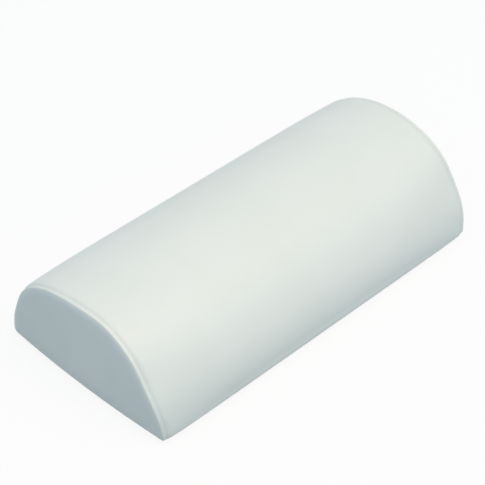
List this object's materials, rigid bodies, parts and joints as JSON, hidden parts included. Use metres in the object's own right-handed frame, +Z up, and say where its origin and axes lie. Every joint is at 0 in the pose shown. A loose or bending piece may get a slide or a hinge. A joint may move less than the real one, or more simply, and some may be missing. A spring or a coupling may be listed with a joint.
{
  "type": "half round bolster",
  "caption": "Half round foam bolster with a flat base, in a smooth white vinyl cover with folded end seams and a zip closure in the base.",
  "frame": {"origin": "middle of the flat base, on the surface that the bolster lies on", "axes": "+X along the bolster, towards the end where the closed zip's slider is; +Z up, out of the middle of the arch; -Y is the long side that faces the picture's viewer"},
  "size_m": [0.4998, 0.2498, 0.12],
  "materials": {
    "vinyl": "satin white coated vinyl",
    "firm_foam": "open cell polyurethane foam",
    "soft_foam": "open cell polyurethane foam",
    "zip_tape": "woven polyester",
    "zip_teeth": "moulded acetal",
    "zinc": "die cast zinc, satin"
  },
  "bodies": {
    "cover": {"foam_core": "firm_foam", "comfort_layer": "soft_foam", "cover_wrap": "vinyl", "cover_end_left": "vinyl", "cover_end_right": "vinyl", "base_panel_front": "vinyl", "base_panel_rear": "vinyl", "zip_tape_front": "zip_tape", "zip_tape_rear": "zip_tape", "zip_teeth_front": "zip_teeth", "zip_teeth_rear": "zip_teeth", "zip_end_tab_left": "vinyl", "zip_end_tab_right": "vinyl"},
    "slider": {"zip_slider": "zinc"},
    "pull": {"zip_pull": "zinc"}
  },
  "joints": [
    {"name": "zip_slide", "type": "slide", "parent": "cover", "child": "slider", "axis": [-1, 0, 0], "range_m": [0, 0.412], "deforming": ["zip_teeth_front", "zip_teeth_rear"]},
    {"name": "pull_flip", "type": "hinge", "parent": "slider", "child": "pull", "pos_m": [0.206, 0, 0.00295], "axis": [0, -1, 0], "range_deg": [0, 180]}
  ]
}
